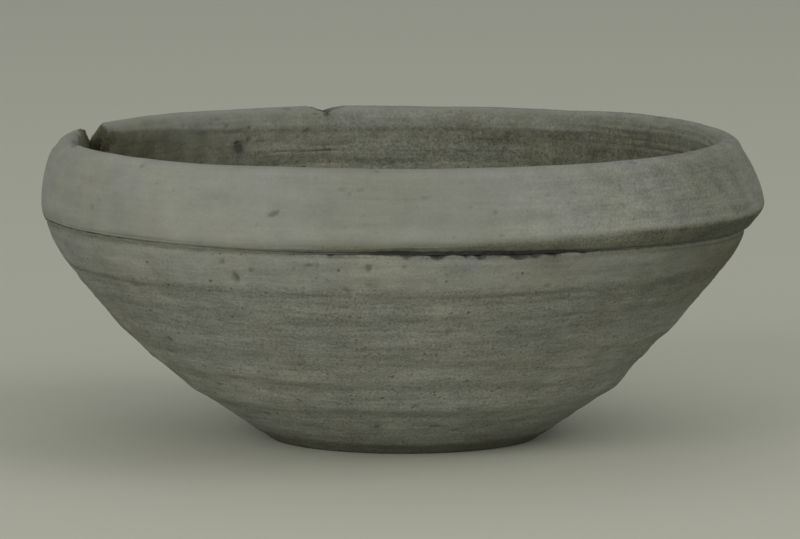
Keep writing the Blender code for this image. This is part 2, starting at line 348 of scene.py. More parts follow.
def capLoops(first, count, rings, pole, flip):
    # closes a disc inward from a ring: the rings name their first point and their count
    found = []
    for start, size in rings:
        if size == count:
            for i in range(count):
                found.append((first + i, first + (i + 1) % count, start + (i + 1) % count, start + i))
        else:
            for i in range(size):
                a, b, c = first + 2 * i, first + 2 * i + 1, first + (2 * i + 2) % count
                d, e = start + i, start + (i + 1) % size
                found += [(a, b, d), (b, e, d), (b, c, e)]
        first, count = start, size
    found += [(first + i, first + (i + 1) % count, pole) for i in range(count)]
    return [tuple(reversed(loop)) for loop in found] if flip else found


def disc(rim, centre, inner):
    # rings of points from a rim in to a centre, halving their count as they shrink
    rings, points, start, count = [], [], 0, len(rim)
    for share in inner:
        if count > 80 and count * 0.9 > np.hypot(*(rim[0, :2] - centre[:2])) * share * math.tau:
            count, rim = count // 2, rim[::2]
        rings.append((start, count))
        points.append(rim * share + centre * (1 - share))
        start += count
    return np.concatenate(points), rings


# The wall with its foot, neck and the thinned edge that the collar laps over
bowlLook = {
    "columns": 584, "rows": 97, "insideRows": 38, "lumps": ((46, 0.24), (17, 0.1)), "grit": (1.9, 0.07),
    "striae": ((60, 2.6, 0.1), (26, 1.3, 0.07)), "wobble": 1.3, "softEdge": 0.6, "seamLine": (0.22, 1),
    "neckShade": 0.36, "heelShade": 0.5, "bellyPale": 0.15,
    # darker and paler patches, partly painted shade on the heel and the neck's right side: (angle, height, half width
    # in degrees, half height, shade)
    "clouds": ((-44, 9, 24, 5, 0.13), (-49, 31, 9, 6, -0.14), (-85, 48, 6, 4, -0.1), (-60, 68, 6, 5, 0.13),
        (-88, 67, 6, 4, -0.08), (-14, 67, 10, 8, 0.18), (-73, 12, 10, 4, 0.08), (-84, 53, 6, 4, -0.06),
        (150, 40, 30, 12, 0.08), (60, 30, 25, 14, -0.08), (10, 50, 20, 8, 0.06)),
    # how much the wall keeps inside its ridges, by height
    "trim": ((0, 0.3), (2, 0.3), (4, 0.25), (7, 0.35), (12, 0.6), (15, 0.9), (18, 0.3), (22, 0), (25.5, 0.4),
        (29, 0.1), (38, 0), (43, 0), (46, 0.15), (50, 0.6), (53.5, 0.3), (57, 0.3), (60, 0)),
    # fine grooves: (height, depth, half height, angles between which it is strong)
    "grooves": ((59.6, 0.5, 0.95, -172, -141), (59.4, 0.2, 0.8, -120, -30), (58.2, 0.22, 0.8, -165, -115),
        (55.7, 0.24, 0.6, -160, -122), (50.9, 0.3, 0.8, -172, -112), (48.9, 0.14, 0.7, -150, -60),
        (38.3, 0.16, 0.9, -140, -40), (27.4, 0.16, 0.9, -150, -60)),
    "pits": ((-116.8, 64.6, 1.5, 2.3, 1, 10), (-118.6, 69.7, 0.8, 1.1, 0.5, 0),
        (-113.8, 67.6, 1.2, 0.8, 0.5, -15), (-104, 69.7, 1.3, 1.1, 0.5, 0), (-94.4, 69.1, 1.3, 1.2, 0.6, 0),
        (-88.8, 69.8, 0.9, 0.7, 0.4, 0), (-99.1, 55.3, 1.6, 0.6, 0.4, 10), (-142.3, 39.5, 2, 1.1, 0.7, -15),
        (-147.3, 34.3, 1.3, 0.8, 0.6, -10), (-131.1, 50.2, 1, 0.8, 0.4, 0), (-139.7, 23.5, 1.2, 1, 0.7, 0),
        (-133.5, 12.9, 1.9, 0.9, 0.8, 5)),
    "insidePits": ((95.1, 81.1, 1.7, 1.2, 0.8, 0), (65.9, 80.4, 1.2, 0.9, 0.6, 0)),
    "crumbs": ((-100.4, 0.3, 1), (-88.6, 0.5, 1.6), (-83.6, 0.9, 2.2), (-79.2, 0.6, 1.2), (-76.9, 1.1, 1.5),
        (-70.4, 1.5, 2.6), (-68, 0.7, 1.4), (-64.6, 0.5, 2), (-59.5, 0.4, 1.8)),
    # painted shade on the wall just under the seam, by angle
    "underSeamPaintedShade": ((-92, 0), (-80, 0.1), (-72, 0.18), (-64, 0.26), (-58, 0.4), (-50, 0.27), (-40, 0.3),
        (-25, 0.18), (0, 0.2), (40, 0)),
}
form = turnedForm
seamPlace, groovePlace = np.array(form["seam"]), np.array(form["groove"])
leanTurn = math.radians(form["edgeLean"])
edgeUp = np.array((-math.sin(leanTurn), math.cos(leanTurn)))
edgeOut = np.array((math.cos(leanTurn), math.sin(leanTurn)))
edgeRoot = seamPlace - (form["ledge"], 0)
edgeTip = edgeRoot + edgeUp * (form["edge"] - form["edgeThick"] / 2) - edgeOut * form["edgeThick"] / 2
footPlace = np.array((form["foot"], 0.0))


def lapLine(offset, start, end):
    # in along the ledge, up the edge's outside and over its tip, this far off the wall
    climb = offset * (1 - edgeOut[1]) / edgeOut[0]
    corner = edgeRoot + edgeUp * climb + edgeOut * offset
    over = roundArc(edgeTip, form["edgeThick"] / 2 + offset, form["edgeLean"], end)
    return (start, form["seam"][1] + offset), corner, over


def wallLine(steps=360):
    # the outside of the wall from heel to groove, with its swell but no ridges yet
    arc, normals = bellied(footPlace, groovePlace, form["belly"], steps)
    return arc + normals * (form["swell"] * bell(arc[:, 1] - form["swellHeight"], form["swellSpread"]))[:, None]


def insideLine():
    # down inside the tip, through the cove and the wall's curve to the floor
    arc, normals = bellied(footPlace, groovePlace, form["belly"], 180)
    run = lengths(arc)
    depth = form["wall"] + form["innerRidge"] * np.sin(math.pi * run / form["innerPitch"]) ** 2
    wall = (arc - normals * depth[:, None])[::-1]
    tip = edgeTip - edgeOut * form["edgeThick"] / 2
    middle = (tip + wall[0]) / 2 + (form["cove"], 0)
    flat = np.array((form["floorFlat"], form["floor"]))
    kept = wall[np.hypot(*(wall - flat).T) > form["floorSweep"]]
    slope = (kept[-20] - kept[-1])[0] / (kept[-20] - kept[-1])[1]
    corner = (kept[-1][0] - slope * (kept[-1][1] - form["floor"]), form["floor"])
    return np.concatenate((bent(tip, middle, wall[0])[:-1], kept[:-1], bent(kept[-1], corner, flat)))


def seamShade(around, openness, distance, widening):
    # painted shade along the seam where it is shut, wider towards the back left
    deep, wide = bowlLook["seamLine"]
    wide = wide * (1 + widening * eased((-138 - around) / 20))
    return deep * bell(distance, wide) * (1 - np.clip(openness * 2, 0, 1))


def farPale(around):
    # painted light: the inside of the far wall is paler low down
    return collarLook["lowPale"] * bell(around - 88, 42)


def makeBowl():
    look = bowlLook
    around = columns(look["columns"], lambda a: 1 + 0.5 * bell(a + 90, 75))
    openness, gap, sway = seamAt(around)
    wall = wallLine()
    neck = bellied(groovePlace, seamPlace, form["ridge"], 60)[0]
    outside = np.concatenate((wall[:-1], neck))
    # softens the turn between wall and neck
    kernel = bell(np.linspace(-2, 2, 13), 1.0)
    padded = np.pad(outside, ((6, 6), (0, 0)), mode="edge")
    soft = np.stack([np.convolve(padded[:, k], kernel / kernel.sum(), "valid") for k in (0, 1)], axis=1)
    outside[8:-8] = soft[8:-8]
    outside = outside[lengths(outside) > form["heel"]]
    turnSize = 0.7
    line, part = joined([
        (rounded((0.0, 0.0), footPlace, outside[0], form["heel"]), 4),
        (outside[:-2], look["rows"], lambda p: 1 + 0.9 * bell(p[:, 1] - 59.3, 4.0)),
        (rounded(outside[-3], seamPlace, edgeRoot, turnSize), 5),
        (straight(toward(seamPlace, edgeRoot, turnSize), edgeRoot), 4),
        (straight(edgeRoot, lapLine(0.0, 0, 190)[2][0]), 6),
        (lapLine(0.0, 0, 180 + form["edgeLean"])[2], 7),
        (insideLine(), look["insideRows"]),
    ])
    onWall, onTurn, onEdge, onInside = 1, 2, 4, 6
    rows = len(line)
    normals = facing(line)
    normals[0] = (0.5, -0.85)
    normals[-1] = (0.0, 1.0)
    run = lengths(line)
    radius, height, place = laidOut(line, around)
    flow = spun(radius, run[:, None] + 0 * around, around)
    outer = ((part <= onWall) * 1.0)[:, None]
    inner = ((part == onInside) * 1.0)[:, None]
    corner = run[np.argmax(part == onTurn) + 2]
    past = (run - corner)[:, None]
    pastTip = (run - run[part == onInside][0])[:, None]
    # throwing ridges, which waver in height as they go round
    waves = look["wobble"] * streaks(place * (1, 1, 0.3), 60.0, 40.0, 11)
    down = lengths(wall)[-1] - run[:, None] - form["ridgeStart"] + waves
    bands = np.where((down > 0) & (down < form["ridgeCount"] * form["ridgePitch"]),
                     form["ridge"] * np.sin(math.pi * down / form["ridgePitch"]) ** 2, 0.0)
    clear = eased(-past / 3.0) * eased((height - 0.4) / 3.0)
    rough = outer * (0.45 + 0.55 * eased((62.0 - height) / 5.0)) * clear + inner * 0.9 * eased(pastTip / 2.0)
    smooth = outer * clear + inner * eased((84.0 - height) / 10)
    out = bands * outer * clear - np.interp(height, *zip(*look["trim"])) * outer * eased(height / 1.2)
    out += roughened(look, place, flow, (20, 40, 60), (smooth, rough, rough))
    dark = np.zeros_like(out)
    for i, (level, deep, tall, left, right) in enumerate(look["grooves"]):
        broken = np.clip(0.75 + 0.9 * waver(place / (14, 14, 90), 70 + i), 0.05, 1.3)
        bend = 0.7 * waver(place / (55, 55, 400), 80 + i)
        groove = (bell(height - level - bend, tall) * (0.2 + 0.8 * between(around, left, 12, right, 14))
                  * broken * outer)
        out -= deep * groove
        # painted shade in the groove
        dark = np.maximum(dark, 0.55 * groove * deep / 0.4)
    # named pits first, then the small ones that grit left when it was dragged out
    pits = placed(look["pits"], line, run, part <= onWall)
    pits += scattered(210, (4.0, corner - 2), (0.5, 1.5), (0.1, 0.55), 5)
    hollow, shade = pressed(around, run, line[:, 0], pits, 6)
    out -= hollow * outer
    dark = np.maximum(dark, shade * outer)
    pits = scattered(120, (run[part == onInside][2], run[-1]), (0.6, 1.8), (0.1, 0.6), 7)
    pits += placed(look["insidePits"], line, run, np.flatnonzero(part == onInside)[:12])
    hollow, shade = pressed(around, run, line[:, 0], pits, 8)
    out -= hollow * inner * eased((pastTip - 1.0) / 2.0)
    dark = np.maximum(dark, shade * inner)
    radius, height = radius + normals[:, :1] * out, height + normals[:, 1:] * out
    # the ledge comes up to leave only the seam's own gap, and its edge has crumbled
    hold = np.where(part >= onEdge, 1 - (run - run[part == onEdge][0]) / 6.0, 1 - (corner - run) / 7.0)
    height = height + (form["bed"] / 2 + 0.05 - gap / 2 + sway) * eased(hold)[:, None]
    crumbled = 0.1 + 0.2 * np.clip(lumps(place, 6.0, 90, 2), -0.3, 1) + 0.16 * lumps(place, 1.5, 93, 2)
    bite = crumbled * (0.3 + 1.1 * openness)
    for angle, deep, wide in look["crumbs"]:
        bite = bite + deep * bell((around - angle) * math.radians(form["seam"][0]), wide)
    soft = (1 - np.clip(openness * 2.2, 0, 1)) * look["softEdge"]
    height = height - bite * bell(past, np.where(past > 0, 4.0, 0.9)) - 0.5 * soft * bell(past, 0.8)
    radius = radius - bite * 0.35 * bell(past, 0.9) - soft * bell(past + 0.4, 1.3)
    # painted shade along the crumbled edge under the seam
    dark = np.maximum(dark, np.clip(bite * 1.5 - 0.25, 0, 1) * bell(past - 0.2, 1.1))
    points = spun(radius, height, around)
    # painted shade at the neck's right side, at the heel by the ground and under the seam, paler on the belly,
    # painted shade inside under the lip
    belly = (1 - 0.9 * between(around, -45, 30, 75, 40)) * between(height, 6, 5, 42, 10)
    shade = outer * (look["neckShade"] * between(around, -58, 30, 75, 40) * eased((height - 42) / 18)
                     + look["heelShade"] * eased((6.2 - height) / 4.0) - look["bellyPale"] * belly
                     + clouded(around, height, look["clouds"]) + byAngle(around, look["underSeamPaintedShade"]) * bell(past, 1.6))
    shade = shade + inner * (byAngle(around, insidePaintedShade) - farPale(around)) * eased((height - 60) / 14)
    shade = shade + seamShade(around, openness, past + 0.2, 1.1)
    # floor inside and string-cut foot below, as discs
    floorMiddle, footMiddle = (0, 0, form["floor"] - 0.5), (0, 0, 0.5)
    floor, floorRings = disc(points[-1], np.array(floorMiddle), np.linspace(1, 0.02, 22)[1:])
    hub = np.hypot(floor[:, 0], floor[:, 1])
    spiral = np.sin(hub * 1.05 + np.arctan2(floor[:, 1], floor[:, 0]))
    floor[:, 2] += 0.35 * spiral * eased(hub / 6) * eased((21.0 - hub) / 6) + 0.12 * lumps(floor, 7.0, 95)
    under, underRings = disc(points[0], np.zeros(3), np.linspace(1, 0.01, 34)[1:])
    inward = eased((form["foot"] - 2.5 - np.hypot(under[:, 0], under[:, 1])) / 4)
    swirl = np.hypot(under[:, 0] - 11, under[:, 1] + 62) * 1.35 + 1.2 * waver(under / 18, 97)
    cut = 0.55 + 0.16 * np.sin(swirl) + 0.12 * lumps(under, 6.0, 98)
    under[:, 2] = under[:, 2] * (1 - inward) + inward * cut
    whole = np.concatenate((points.reshape(-1, 3), floor, [floorMiddle], under, [footMiddle]))
    count = len(around)
    loops = ringLoops(rows, count, closed=False)
    base = rows * count
    loops += capLoops(base - count, count, [(base + s, n) for s, n in floorRings], base + len(floor), flip=False)
    base += len(floor) + 1
    loops += capLoops(0, count, [(base + s, n) for s, n in underRings], base + len(under), flip=True)
    marks = {"hollow": dark, "wiped": outer * eased((height - 60.5) / 2.5), "shade": shade,
             "inside": inner + 0 * height}
    discs = len(floor) + len(under) + 2
    marks = {mark: np.append(values, np.full(discs, mark == "inside")) for mark, values in marks.items()}
    return makePiece("thrown_wall", handShaped(whole), loops, marks)


# The collar: flap and flange, crowned outer face, rounded lip and undercut inner face
collarLook = {
    "columns": 1080, "tip": (0.45, 78.7, 1.2), "flangeRound": (4.4, 0.9), "flapRound": (1.9, 0.8),
    "lumps": ((40, 0.26), (15, 0.1)), "striae": ((110, 3.2, 0.05), (45, 1.4, 0.03)), "grit": (1.7, 0.035),
    # levels over the crest at which the rim is broken off: a steep face by angle at +Y, a slope by X at -Y,
    # the floor between them, and the inner corner that came off with the piece, by angle
    "notchFace": ((0, 3), (0.7, -9.5)), "notchAngles": (154.4, 156.8),
    "notchSlope": ((-109.5, 3), (-108.3, 0), (-106.6, -0.6), (-105.2, -1.7), (-104.9, -3.6), (-104.5, -6.6),
        (-103.9, -9.5)),
    "spall": ((156, -9), (165, -8.5), (171, -7.5), (177, -5.6), (183, -3.6), (188, -1.4), (191.5, 0),
        (194.5, 3)),
    "spallEdge": ((156, 106.2), (166, 106.4), (180, 105.6), (189, 107.6)), "spallInside": (154.6, 0.6),
    "chip": ((99.1, 3), (99.6, -0.5), (100.7, -0.8), (102.3, -1.6), (103.3, -2.1), (104.4, -1.9), (105.4, -0.9),
        (107, -0.3), (108.4, 3)),
    "pits": ((-151.7, 87.5, 1.2, 0.9, 0.2, 0), (-146.4, 81.8, 0.6, 1.4, 0.5, 8),
        (-109.3, 85.2, 2.6, 1.1, 0.5, 28), (-98.6, 94, 1.2, 0.9, 0.3, 0), (-97.4, 92.5, 0.9, 0.8, 0.3, 0),
        (-95.8, 93.7, 1.4, 0.9, 0.25, 10), (-92.5, 91, 16, 0.5, 0.12, 0), (-85.7, 91.6, 1.6, 0.7, 0.35, 0),
        (-93.8, 82.4, 4.5, 0.45, 0.15, 0), (-98, 81.8, 0.8, 0.8, 0.2, 0), (-79.8, 96, 0.8, 0.6, 0.3, 0),
        (-78.8, 88.5, 0.8, 0.7, 0.3, 0), (-74.9, 86.7, 1, 0.8, 0.35, 0), (-65.8, 91.9, 1, 0.7, 0.3, 0),
        (-49, 84, 1, 0.7, 0.3, 0)),
    # painted shade on the underside under the flange, by angle, and its upper bound and softness
    "underShade": ((-180, 0.04), (-150, 0.06), (-120, 0.16), (-100, 0.24), (-86, 0.26), (-73, 0.38),
        (-66, 0.46), (-55, 0.48), (-43, 0.54), (-24, 0.54), (20, 0.5), (60, 0.3), (110, 0.15), (180, 0.04)),
    "underTop": ((-180, 76.5, 2), (-110, 76.8, 2), (-86, 77.4, 2.6), (-66, 78.3, 3.2), (-52, 79.3, 3),
        (-40, 78.9, 2), (-25, 78.7, 1.4), (60, 78.7, 1.5), (180, 76.5, 2)),
    # painted light and shade across the face, by angle: paler where below zero
    "faceShade": ((-180, -0.14), (-126, -0.13), (-112, -0.03), (-92, 0.05), (-78, 0.02), (-60, -0.08),
        (-47, -0.05), (-35, 0.09), (20, 0.1), (90, 0), (180, -0.14)),
    # darker and paler patches, partly painted shade low on the face at the back left: (angle, height, half width in
    # degrees, half height, shade)
    "clouds": ((-138, 81, 8, 8, 0.17), (-36, 88, 7, 9, 0.09), (-97, 89, 5, 4, 0.07), (-118, 88, 8, 6, 0.05),
        (-168, 77, 22, 2.5, 0.14), (40, 90, 25, 8, 0.06), (110, 84, 20, 7, -0.06)),
    "bevelStep": (0.25, 1.3, 5), "edgePale": 0.13, "lowPale": 0.23,
    # how far the bevel's lower edge rises toward the notch, by angle
    "bevelRise": ((-180, 1), (-172, 0), (40, 0), (48, -0.6), (56, -1.5), (75, -1.6), (100, -1.5), (122, -1.2),
        (130, -0.4), (138, 0.9), (148, 2.2), (158, 3.2), (172, 2.4), (180, 1)),
    # painted light on the turn under the bevel: how much paler it is, by angle
    "bevelPale": ((-180, 0), (38, 0), (48, 0.05), (57, 0.2), (66, 0.17), (74, 0.06), (82, 0.12), (95, 0.14),
        (101, 0.16), (108, 0.26), (113, 0.34), (120, 0.17), (126, 0.22), (131, 0.27), (137, 0.13), (144, 0.04),
        (150, 0), (180, 0)),
    # the rim's own rise and fall, by angle
    "rimRise": ((-180, 0), (45, 0), (52, -0.2), (60, -0.45), (70, -0.6), (79, -0.4), (92, -0.35), (99, -0.45),
        (105, -0.15), (118, 0), (180, 0)),
    "insidePits": ((121.6, 87.4, 2.4, 2.1, 1.6, 20), (119.4, 89.4, 1.5, 0.9, 0.8, 30),
        (117, 88.6, 1.4, 0.6, 0.4, -20), (114, 87.2, 1.2, 0.7, 0.5, 10), (65.9, 87.2, 1.4, 0.9, 0.6, 0),
        (103.4, 97.3, 1.6, 0.7, 0.9, 0), (119.3, 93.7, 0.9, 0.8, 0.6, 0), (126, 97.2, 1.3, 0.5, 0.5, 0),
        (82, 90.2, 1, 0.7, 0.5, 0), (74, 88.5, 0.9, 0.8, 0.5, 0)),
}


def collarLine(side):
    # one side's closed line: 0 is the soft, rounded flange at -X and 1 the sharp one at +X
    look = collarLook
    flangeRound, flapRound, proud = (pair[0] + (pair[1] - pair[0]) * side
                                     for pair in (look["flangeRound"], look["flapRound"], form["flapProud"]))
    flange = np.array(form["flange"])
    flap = np.array((form["seam"][0] + proud, form["seam"][1] + form["bed"]))
    ledge, corner, over = lapLine(form["bed"], flap[0] - flapRound, 136.0)
    lipRadius = form["lip"]
    centre = np.array(form["crest"]) - (0, lipRadius)
    away, toJoint = centre - flange, over[-1] - centre
    start = math.degrees(math.atan2(-away[1], -away[0]) + math.acos(lipRadius / np.hypot(*away)))
    end = math.degrees(math.atan2(toJoint[1], toJoint[0]) % math.tau - math.acos(lipRadius / np.hypot(*toJoint)))
    lip = roundArc(centre, lipRadius, start, end)
    # the inside of the lip is pressed flatter than round
    press = bell(np.linspace(start, end, len(lip)) - 132, 26)
    lip = lip - 0.75 * press[:, None] * (lip - centre) / lipRadius
    face = bellied(flange, lip[0], form["crown"], 80)[0]
    above = face[np.argmax(lengths(face) > flangeRound)]
    under, flapEnd = toward(flange, flap, flangeRound * 0.8), toward(flap, flange, flapRound)
    return joined([
        (bent(under, flange, above), 9),
        (face[lengths(face) >= flangeRound], 24),
        (lip, 22),
        (straight(lip[-1], over[-1]), 13),
        (over[::-1], 5),
        (straight(over[0], corner), 4),
        (straight(corner, ledge), 4),
        (bent(ledge, flap, flapEnd), 4),
        (straight(flapEnd, under), 6),
    ])


def breakLevel(angle, radius, place):
    # height of the broken surface over each point of the rim
    look = collarLook
    whole = 3.0
    wander = 0.34 * waver(place / 3.0, 130) + 0.2 * waver(place / 1.3, 131)
    turn = angle % 360 + wander
    inmost, outmost = look["notchAngles"][::-1]
    faceAngle = inmost + (outmost - inmost) * eased((radius - 108.2) / 2.4)
    face = np.interp(turn - faceAngle, *zip(*look["notchFace"]))
    slope = np.interp(place[..., 0] + 0.6 * wander, *zip(*look["notchSlope"]))
    spall = np.interp(turn, *zip(*look["spall"]), left=whole, right=whole)
    spall = spall + (whole - spall) * eased(radius - np.interp(turn, *zip(*look["spallEdge"])))
    notch = np.where(np.abs(turn - 172) < 25, np.maximum(face, np.minimum(slope, spall)), whole)
    chip = np.interp(angle + 0.6 * wander, *zip(*look["chip"]))
    return form["crest"][1] + np.minimum(notch, chip) + 0.42 * lumps(place * (1, 1, 0), 3.2, 132, 3)


def breakOff(around, radius, height, bare):
    # cuts each column's line at the broken level and closes it straight across, in place
    marked = np.clip(bare * 1.2, 0, 1)
    level = breakLevel(around, radius, spun(radius, height, around))
    for j in np.flatnonzero((height > level).any(axis=0)):
        cut = np.flatnonzero(height[:, j] > level[:, j])
        first, last = cut[0] - 1, cut[-1] + 1
        gone = slice(first + 1, last)
        share = (np.arange(first + 1, last) - first) / (last - first)
        was = radius[first:last + 1, j].copy(), height[first:last + 1, j].copy()
        radius[gone, j] = radius[first, j] * (1 - share) + radius[last, j] * share
        inmost = int(np.argmin(was[0])) + 1
        rim = np.interp(radius[gone, j], was[0][:inmost][::-1], was[1][:inmost][::-1])
        across = spun(radius[gone, j], rim, np.full(len(share), around[j]))
        lid = np.minimum(breakLevel(around[j], radius[gone, j], across), rim)
        ends = np.minimum(height[first, j] * (1 - share) + height[last, j] * share, rim)
        pinned = eased(np.minimum(share, 1 - share) / 0.08)
        height[gone, j] = ends * (1 - pinned) + lid * pinned
        marked[gone, j] = np.clip((rim - lid) / 0.35, 0, 1)
    return marked


def makeCollar():
    look = collarLook
    around = columns(look["columns"], lambda a: 0.66 + 0.36 * bell(a + 90, 80) + 3.6 * bell(a % 360 - 168, 13)
                     + 22 * bell(a - 155.2, 1.2) + 2.0 * bell(a - 103.5, 6))
    openness, gap, sway = seamAt(around)
    (leftLine, part), (rightLine, part) = collarLine(0), collarLine(1)
    onFlange, onFace, onLip, onInside, onTip, onLedge, onFlap, onUnder = 0, 1, 2, 3, 4, 6, 7, 8
    line = (leftLine + rightLine) / 2
    normals = facing(line)
    run = lengths(line)
    side = ((1 + np.cos(np.radians(around))) / 2) ** 1.7
    radius, height = (leftLine[:, [k]] * (1 - side) + rightLine[:, [k]] * side for k in (0, 1))
    place = spun(radius, height, around)
    flow = spun(radius, run[:, None] + 0 * around, around)
    lipRun, insideRun, tipRun = run[part == onLip], run[part == onInside], run[part == onTip][0]
    seen = ((part <= onInside) * 1.0 + (part >= onFlap) * 0.6) * eased((tipRun - run) / 2.0 + (part > onLedge))
    seen = seen[:, None]
    inner = ((part == onInside) * 1.0 + (part == onLip) * eased((run - lipRun[11]) / 4.0))[:, None]
    rough = 1 + 1.3 * between(around, -62, 40, 75, 30) + 1.5 * inner
    out = roughened(look, place, flow, (110, 120, 126), (seen, seen * (1 + 2.2 * inner), seen * rough))
    # finger grooves on the inside of the lip, strongest on the +X side
    strong = 0.15 + between(around, -20, 30, 78, 30)
    grooves = np.sin((run[:, None] + 0.9 * streaks(flow, 50.0, 9.0, 128)) * math.tau / 2.3)
    out = out + 0.24 * np.clip(grooves + 0.2, -1, 0.8) * strong * inner
    pits = placed(look["pits"], line, run, part <= onFace)
    pits += scattered(70, (0, lipRun[11]), (0.4, 1.0), (0.08, 0.35), 12)
    pits += scattered(60, (0, lipRun[8]), (0.4, 1.1), (0.1, 0.4), 13, (-55, 40))
    pits += placed(look["insidePits"], line, run, (part == onInside) | ((part == onLip) & (run > lipRun[11])))
    pits += scattered(90, (lipRun[12], tipRun - 1), (0.4, 1.2), (0.1, 0.6), 14)
    hollow, dark = pressed(around, run, line[:, 0], pits, 15)
    out = out - hollow * seen
    dark = dark * (seen > 0)
    # the lip's bevel ends in a small step
    step, sharp, fade = look["bevelStep"]
    below = (run - insideRun[0])[:, None] + byAngle(around, look["bevelRise"])
    lined = ((part == onInside) | ((part == onLip) & (run > lipRun[14])))[:, None]
    uneven = 1 + 0.4 * waver(place / (16, 16, 50), 136)
    out = out - step * uneven * lined * eased(below / sharp) * eased(1.4 - below / fade)
    # a sharper flange at +X and a flatter shoulder to the lip at -X
    outerSide = np.isin(part, (onFlange, onFace, onUnder))[:, None]
    facingX = np.cos(np.radians(around))
    tip, tipLevel, tipSpread = look["tip"]
    out = out + eased((facingX - 0.5) / 0.4) * outerSide * tip * bell(height - tipLevel, tipSpread)
    shoulder = (part <= onLip)[:, None] * (radius > form["crest"][0]) * bell(height - 98.0, 2.2)
    out = out - eased((-facingX - 0.75) / 0.2) * shoulder
    radius, height = radius + normals[:, :1] * out, height + normals[:, 1:] * out
    rise = 0.22 * waver(place / (28, 28, 400), 127) + byAngle(around, look["rimRise"])
    height = height + rise * eased((height - 88) / 10)
    unsunk = height
    # the flap comes down to leave only the seam's own gap
    flapRun = run[part == onFlap][0]
    away = np.minimum(np.abs(run - flapRun), run[-1] - np.abs(run - flapRun))
    hold = np.where(part <= onFace, 1 - (run + run[-1] - flapRun) / 9.0, 1 - (flapRun - run) / 9.0)
    hold = np.where(part >= onFlap, 1.0, hold)
    height = height + (gap / 2 - form["bed"] / 2 + 0.05 + sway) * eased(hold)[:, None]
    nearFlap = bell(run - flapRun - 1.0, 1.3)[:, None]
    height = height + (0.14 + 0.34 * np.clip(lumps(place, 2.4, 92, 2), -0.3, 1)) * (0.2 + openness) * nearFlap
    # painted shade along the open seam under the flap
    dark = np.maximum(dark, 0.5 * nearFlap * np.clip(openness + 0.2, 0, 1))
    # the skin under the notch's inner corner came off too
    edge, deep = look["spallInside"]
    turn = around % 360
    bare = (eased((turn - edge + 0.7 * waver(place / 3, 133)) / 1.4) * eased((186 - turn) / 6) * lined
            * eased(below / 0.8) * eased((height - 92.0 - 1.5 * waver(place / 4, 134)) / 2.5))
    radius = radius + deep * bare * (1 + 0.4 * lumps(place, 3.0, 135, 2))
    core = breakOff(around, radius, height, bare)
    # painted highlight on the lip's crest and the flange's rounded edge
    paintedHighlight = bell(height - 99.2, 1.6) * (part == onLip)[:, None] + 0.6 * (part == onFlange)[:, None]
    # painted shade on the underside, along the shut seam and inside under the lip, and painted light where it is
    # paler
    top, soft = (np.interp(around, *zip(*((a, pair[k]) for a, *pair in look["underTop"]))) for k in (0, 1))
    outerSkin = np.isin(part, (onFlange, onFace, onFlap, onUnder))[:, None]
    shade = outerSkin * byAngle(around, look["underShade"]) * (1 - eased((unsunk - top + soft / 2) / soft))
    shade = shade + seamShade(around, openness, away[:, None] - 0.8, 1.4) * outerSkin
    shade = shade + (byAngle(around, look["faceShade"]) + clouded(around, height, look["clouds"])) * (1 - inner)
    # painted light on the face just above the flange, toward the front
    shade = shade - look["edgePale"] * outerSkin * bell(around + 72, 30) * bell(height - 80.8, 2.8)
    # painted shade inside under the lip, weaker on the bevel
    underBevel = (eased((below + 0.8) / 2.2) * lined
                  * (1 - 0.5 * bell(around - 146, 9) * (1 - eased((below - 2.8) / 2.0))))
    onBevel = 0.1 + 0.55 * between(around, -60, 30, 88, 20)
    shade = shade + inner * byAngle(around, insidePaintedShade) * (onBevel + (1 - onBevel) * underBevel)
    # painted light under the bevel and low on the far wall
    shade = shade - lined * byAngle(around, look["bevelPale"]) * bell(run - insideRun[0] - 0.9, 1.9)[:, None]
    shade = shade - inner * farPale(around) * eased((85.5 - height) / 3.5)
    inner = inner * (0.6 + 0.4 * underBevel)
    # the core shows beside the notch, and the shallow break in front of it has worn as pale as the skin
    core = core * (1 - 0.85 * eased((turn - 165.0) / 7.0))
    # painted shade at the bottom of the chip
    dark = np.maximum(dark, 1.7 * core * bell(around - 103.7, 1.5))
    core = core * (1 - 0.75 * bell(around - 103.5, 7.0))
    marks = {"hollow": dark, "broken": core, "paintedHighlight": paintedHighlight * (1 - core), "shade": shade, "inside": inner + 0 * height}
    points = handShaped(swung(spun(radius, height, around))).reshape(-1, 3)
    return makePiece("lapped_collar", points, ringLoops(len(line), len(around), closed=True), marks)


# The slip that beds the collar, dried back in the seam and smeared over the joint inside
slipLook = {
    "columns": 720, "recess": (0.1, 2.4), "fillet": (0.4, 0.2), "crumb": 0.22,
    # the smear inside: how high and low it reaches from the joint, its thickness, and where it has fallen out
    "smear": (88.4, 84, 79.2), "smearThick": 0.42, "gone": (101, 114.5), "jointAt": 84.6,
    "pit": (121.6, 86.9, 2.1),
}


